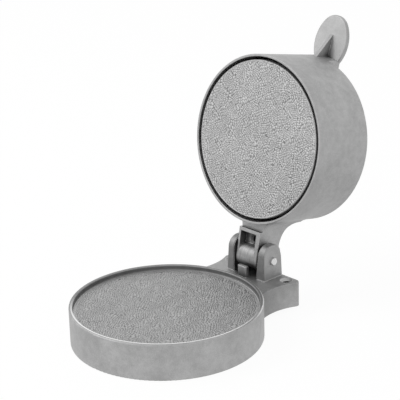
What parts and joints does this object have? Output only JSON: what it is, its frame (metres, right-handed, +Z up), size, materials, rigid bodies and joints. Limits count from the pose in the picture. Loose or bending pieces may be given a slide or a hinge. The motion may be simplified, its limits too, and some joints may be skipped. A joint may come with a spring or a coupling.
{
  "type": "burger press",
  "caption": "Hinged cast-aluminium burger press standing open: a round tray with a hinge lug behind it, and a lid cup that holds a pebbled press plate set by a wing nut.",
  "frame": {"origin": "under the middle of the whole press, tray and open lid together, at the level of the table it stands on", "axes": "+Z up; +Y from the tray back to the hinge; +X to the user's right, along the hinge pin"},
  "size_m": [0.134, 0.2396, 0.1962],
  "materials": {
    "cast_aluminium": "blasted casting, satin grey",
    "plate_aluminium": "pebbled casting, satin grey",
    "pin_steel": "ground bright steel",
    "zinc_steel": "bright zinc plating",
    "spring_steel": "bare spring wire",
    "black_steel": "black oxide"
  },
  "bodies": {
    "base": {"base_casting": "cast_aluminium", "hinge_pin": "pin_steel"},
    "lid": {"lid_casting": "cast_aluminium", "stop_screw": "black_steel", "spring_seat_washer": "zinc_steel", "wing_nut_washer": "zinc_steel", "plate_spring": "spring_steel"},
    "plate": {"press_plate": "plate_aluminium", "adjusting_stud": "zinc_steel", "stud_lock_nut": "zinc_steel"},
    "wing_nut": {"wing_nut": "zinc_steel"}
  },
  "joints": [
    {"name": "lid_hinge", "type": "hinge", "parent": "base", "child": "lid", "pos_m": [0, 0.03202, 0.0361], "axis": [1, 0, 0], "range_deg": [0, 101.6]},
    {"name": "wing_nut_turn", "type": "hinge", "parent": "lid", "child": "wing_nut", "pos_m": [0, 0.09276, 0.1102], "axis": [0, -0.9796, 0.2011], "range_deg": [0, 7777]},
    {"name": "plate_slide", "type": "slide", "parent": "lid", "child": "plate", "axis": [0, 0.9796, -0.2011], "range_m": [0, 0.027], "deforming": ["plate_spring"]}
  ],
  "couplings": [
    {"joint": "wing_nut_turn", "follows": "plate_slide", "rad_per_m": 5026.5}
  ]
}
